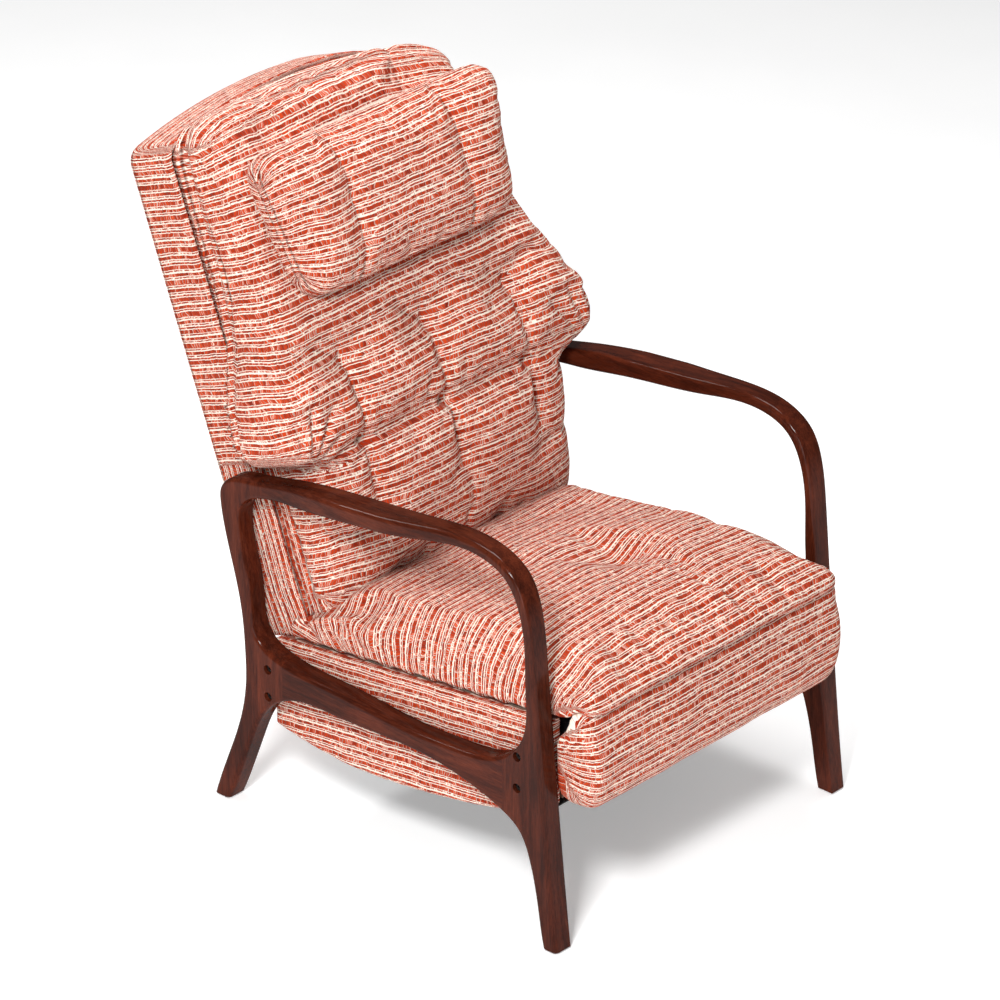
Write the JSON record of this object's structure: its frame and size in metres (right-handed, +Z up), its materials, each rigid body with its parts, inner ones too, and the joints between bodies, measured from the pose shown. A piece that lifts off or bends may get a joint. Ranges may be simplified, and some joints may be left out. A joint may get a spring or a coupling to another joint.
{
  "type": "reclining armchair",
  "caption": "Reclining lounge armchair with sculpted dark wood arm frames, striped red woven upholstery, head pillow and a linked fold-out footrest.",
  "frame": {"origin": "on the floor, midway between the sides and midway between the front and the back of the upright chair", "axes": "+X to the chair's left arm as seen from the front, which is the right in a view along +Y; +Y from the front of the seat to the back; +Z up"},
  "size_m": [0.728, 1.005, 1.1162],
  "materials": {
    "show_wood": "gloss",
    "frame_wood": "matte",
    "dowel_wood": "matte",
    "plastic": "matte",
    "stripe_fabric": "matte",
    "webbing": "matte",
    "dust_cloth": "matte",
    "bush_plastic": "satin",
    "zinc_steel": "satin",
    "hinge_steel": "satin"
  },
  "bodies": {
    "base": {"left_front_leg": "show_wood", "right_front_leg": "show_wood", "left_rear_leg": "show_wood", "right_rear_leg": "show_wood", "left_armrest": "show_wood", "right_armrest": "show_wood", "left_side_rail": "show_wood", "right_side_rail": "show_wood", "joint_dowels": "dowel_wood", "foot_glides": "plastic", "left_seat_board": "frame_wood", "right_seat_board": "frame_wood", "left_side_cover": "stripe_fabric", "right_side_cover": "stripe_fabric", "front_rail": "frame_wood", "rear_rail": "frame_wood", "seat_straps": "webbing", "bottom_cover": "dust_cloth", "frame_bolts": "zinc_steel", "bolt_nuts": "zinc_steel", "left_mech_plate": "hinge_steel", "right_mech_plate": "hinge_steel", "back_pivot_pins": "zinc_steel", "pivot_bushes": "bush_plastic", "left_hinge_arm": "hinge_steel", "right_hinge_arm": "hinge_steel", "base_screws": "zinc_steel", "footrest_pivot_pins": "zinc_steel", "seat_cushion": "stripe_fabric"},
    "back": {"left_back_post": "frame_wood", "right_back_post": "frame_wood", "back_lower_rail": "frame_wood", "back_top_rail": "frame_wood", "back_dowels": "dowel_wood", "back_straps": "webbing", "back_shell": "stripe_fabric", "back_cushion": "stripe_fabric", "head_pillow": "stripe_fabric", "left_back_bracket": "hinge_steel", "right_back_bracket": "hinge_steel", "back_screws": "zinc_steel", "back_crank_pins": "zinc_steel"},
    "footrest": {"footrest_board": "frame_wood", "footrest_pad": "stripe_fabric", "left_footrest_bracket": "hinge_steel", "right_footrest_bracket": "hinge_steel", "footrest_screws": "zinc_steel", "footrest_crank_pins": "zinc_steel"},
    "left_link": {"left_drive_link": "hinge_steel"},
    "right_link": {"right_drive_link": "hinge_steel"}
  },
  "joints": [
    {"name": "back_recline", "type": "hinge", "parent": "base", "child": "back", "pos_m": [0, 0.118, 0.285], "axis": [-1, 0, 0], "range_deg": [0, 35]},
    {"name": "footrest_swing", "type": "hinge", "parent": "base", "child": "footrest", "pos_m": [0, -0.47, 0.385], "axis": [-1, 0, 0], "range_deg": [0, 84]},
    {"name": "left_link_pivot", "type": "hinge", "parent": "back", "child": "left_link", "pos_m": [-0.2545, 0.14476, 0.20012], "axis": [-1, 0, 0], "range_deg": [-35, 0]},
    {"name": "right_link_pivot", "type": "hinge", "parent": "back", "child": "right_link", "pos_m": [0.2545, 0.14476, 0.20012], "axis": [-1, 0, 0], "range_deg": [-35, 0]}
  ],
  "couplings": [
    {"joint": "footrest_swing", "follows": "back_recline", "ratio": 2.4},
    {"joint": "left_link_pivot", "follows": "back_recline", "ratio": -1},
    {"joint": "right_link_pivot", "follows": "back_recline", "ratio": -1}
  ]
}
